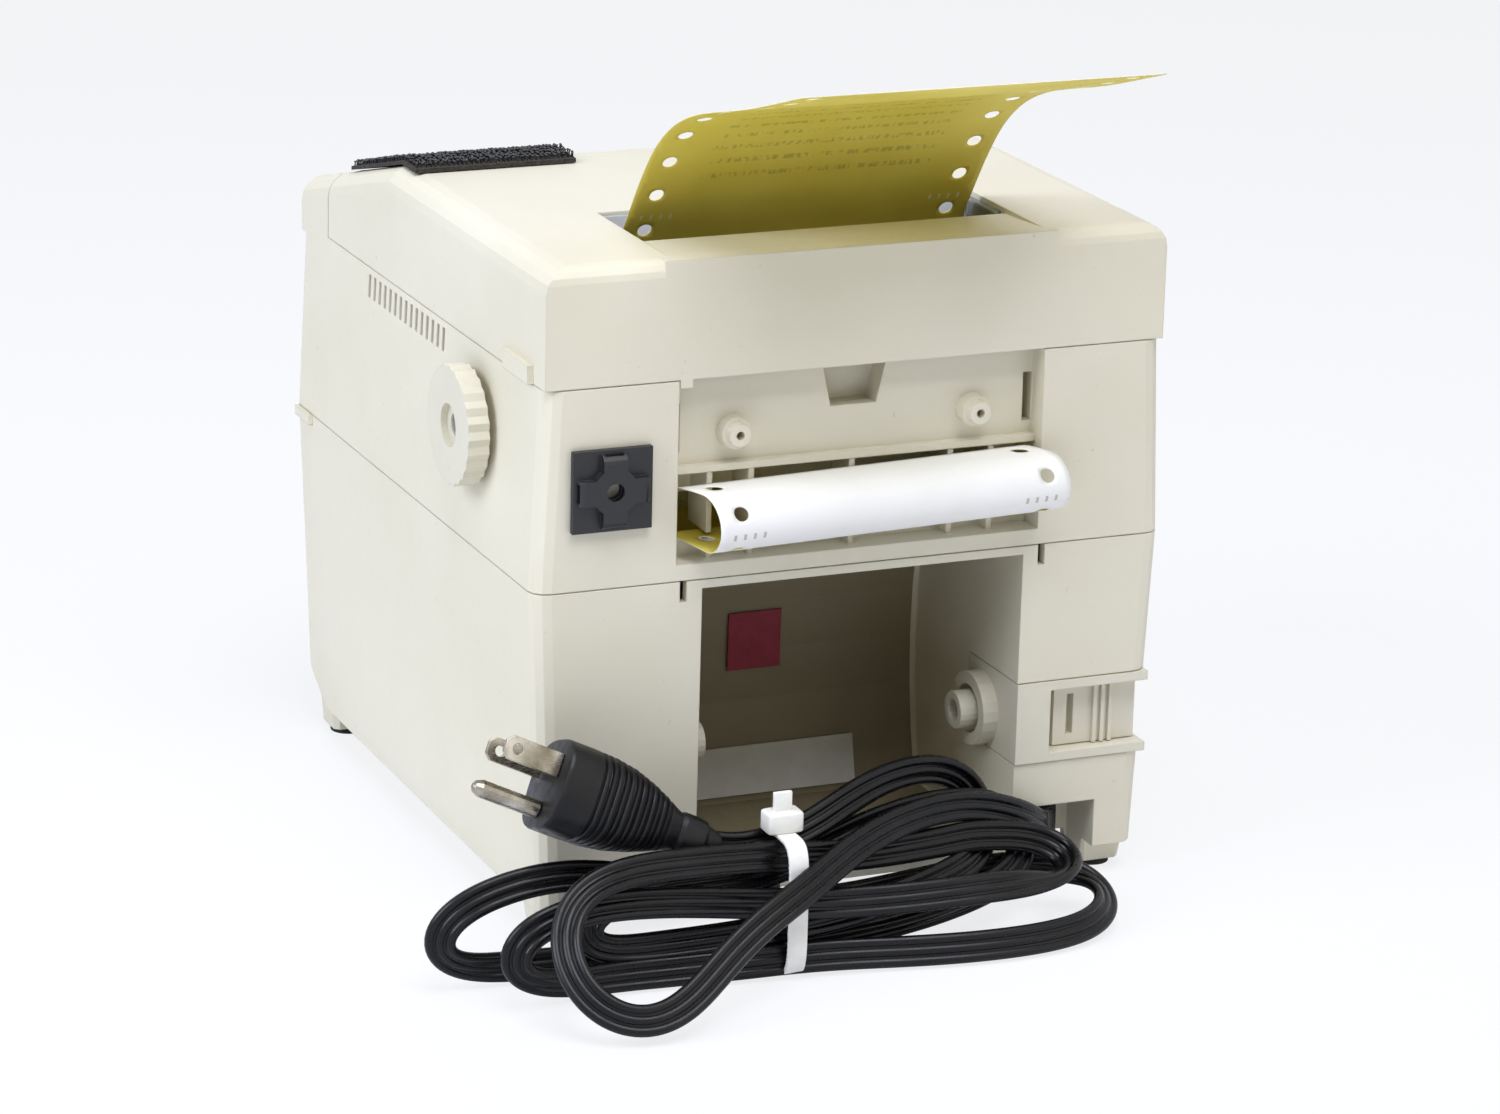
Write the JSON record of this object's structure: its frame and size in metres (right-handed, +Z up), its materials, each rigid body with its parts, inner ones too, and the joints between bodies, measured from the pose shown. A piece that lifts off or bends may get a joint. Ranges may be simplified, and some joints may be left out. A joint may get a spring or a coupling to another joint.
{
  "type": "tractor feed printer",
  "caption": "Small desktop printer with tractor feed: hinged cover, feed knob, rear paper throat and roll bay, curled form and tied mains cord.",
  "frame": {"origin": "bottom centre of the bounding box of the printer with its paper, without the loose cord", "axes": "+Z up; +Y out of the rear face, where the paper throat and roll bay are; +X to the feed knob side"},
  "size_m": [0.2261, 0.2908, 0.2443],
  "materials": {
    "case_ivory": "fine textured moulded plastic",
    "small_ivory": "moulded plastic, slightly smoother than the case",
    "black_plastic": "moulded, semi-matt",
    "soft_black": "soft rubber or hook fastener",
    "dark_plastic": "moulded, matt",
    "grey_plastic": "moulded, matt",
    "clear_plastic": "clear, polished",
    "steel": "zinc plated sheet and bar",
    "prong_metal": "nickel plated brass",
    "nylon": "natural nylon",
    "form_paper": "two-sided form paper, uncoated",
    "board_green": "solder mask",
    "label_red": "vinyl",
    "label_white": "paper label",
    "cord_black": "smooth vinyl jacket"
  },
  "bodies": {
    "case": {"base_case": "case_ivory", "foot_front_left": "soft_black", "foot_front_right": "soft_black", "foot_rear_left": "soft_black", "foot_rear_right": "soft_black", "spindle_block": "small_ivory", "fixed_roll_stub": "small_ivory", "spindle_spring": "steel", "upper_case": "case_ivory", "control_panel": "dark_plastic", "status_lamps": "board_green", "mechanism_tray": "steel", "side_frame_left": "steel", "side_frame_right": "steel", "guide_rod_front": "steel", "guide_rod_rear": "steel", "platen_bar": "dark_plastic", "carriage_belt": "black_plastic", "ribbon_cassette": "black_plastic", "feed_motor": "steel", "paper_guide": "steel", "paper_form": "form_paper", "main_board": "board_green", "transformer": "steel", "data_connector": "steel", "switch_housing": "black_plastic", "tie_mount": "black_plastic", "red_label": "label_red", "white_label": "label_white", "cord_gland": "black_plastic", "cord_lead": "cord_black", "cord_hank": "cord_black", "cable_tie": "nylon", "cord_tail": "cord_black", "plug_body": "black_plastic", "plug_blade_one": "prong_metal", "plug_blade_two": "prong_metal", "plug_ground_pin": "prong_metal"},
    "cover": {"top_cover": "case_ivory", "hook_pad": "soft_black", "exit_plate": "grey_plastic", "clear_guide": "clear_plastic"},
    "feed_train": {"feed_shaft": "steel", "pin_wheel_left": "black_plastic", "pin_wheel_right": "black_plastic", "feed_gear": "nylon", "feed_knob": "small_ivory"},
    "idler": {"idler_gear": "nylon"},
    "pinion": {"motor_pinion": "prong_metal"},
    "carriage": {"carriage": "black_plastic", "print_head": "dark_plastic"},
    "belt_pulley_left": {"belt_pulley_left": "prong_metal"},
    "belt_pulley_right": {"belt_pulley_right": "prong_metal"},
    "latch": {"latch_slider": "small_ivory"},
    "roll_spindle": {"roll_spindle": "small_ivory"},
    "feed_button": {"feed_button": "grey_plastic"},
    "ready_button": {"ready_button": "grey_plastic"},
    "power_rocker": {"power_rocker": "black_plastic"}
  },
  "joints": [
    {"name": "cover_hinge", "type": "hinge", "parent": "case", "child": "cover", "pos_m": [-0.00222, -0.10039, 0.1719], "axis": [1, 0, 0], "range_deg": [0, 75], "deforming": ["paper_form"]},
    {"name": "feed_spin", "type": "hinge", "parent": "case", "child": "feed_train", "pos_m": [-0.00222, 0.02611, 0.1335], "axis": [1, 0, 0], "continuous": true, "deforming": ["paper_form"]},
    {"name": "idler_spin", "type": "hinge", "parent": "case", "child": "idler", "pos_m": [-0.06522, 0.00414, 0.13238], "axis": [1, 0, 0], "continuous": true},
    {"name": "pinion_spin", "type": "hinge", "parent": "case", "child": "pinion", "pos_m": [-0.06522, -0.00188, 0.122], "axis": [1, 0, 0], "continuous": true},
    {"name": "carriage_slide", "type": "slide", "parent": "case", "child": "carriage", "axis": [1, 0, 0], "range_m": [-0.038, 0.038]},
    {"name": "pulley_left_spin", "type": "hinge", "parent": "case", "child": "belt_pulley_left", "pos_m": [0.04378, -0.03789, 0.106], "axis": [0, 0, 1], "range_deg": [-420, 420]},
    {"name": "pulley_right_spin", "type": "hinge", "parent": "case", "child": "belt_pulley_right", "pos_m": [-0.04822, -0.03789, 0.106], "axis": [0, 0, 1], "range_deg": [-420, 420]},
    {"name": "latch_slide", "type": "slide", "parent": "case", "child": "latch", "axis": [1, 0, 0], "range_m": [0, 0.003]},
    {"name": "spindle_slide", "type": "slide", "parent": "case", "child": "roll_spindle", "axis": [-1, 0, 0], "range_m": [0, 0.007], "stiffness_N_per_m": 200, "springref_m": -0.002, "deforming": ["spindle_spring"]},
    {"name": "feed_button_press", "type": "slide", "parent": "case", "child": "feed_button", "axis": [0, 1, 0], "range_m": [0, 0.0015], "stiffness_N_per_m": 300},
    {"name": "ready_button_press", "type": "slide", "parent": "case", "child": "ready_button", "axis": [0, 1, 0], "range_m": [0, 0.0015], "stiffness_N_per_m": 300},
    {"name": "power_rocker_tip", "type": "hinge", "parent": "case", "child": "power_rocker", "pos_m": [-0.09253, -0.09788, 0.06], "axis": [0, 1, 0], "range_deg": [-14, 0]}
  ],
  "couplings": [
    {"joint": "idler_spin", "follows": "feed_spin", "ratio": -2.1429},
    {"joint": "pinion_spin", "follows": "feed_spin", "ratio": 3},
    {"joint": "pulley_left_spin", "follows": "carriage_slide", "rad_per_m": 181.82},
    {"joint": "pulley_right_spin", "follows": "carriage_slide", "rad_per_m": 181.82}
  ]
}
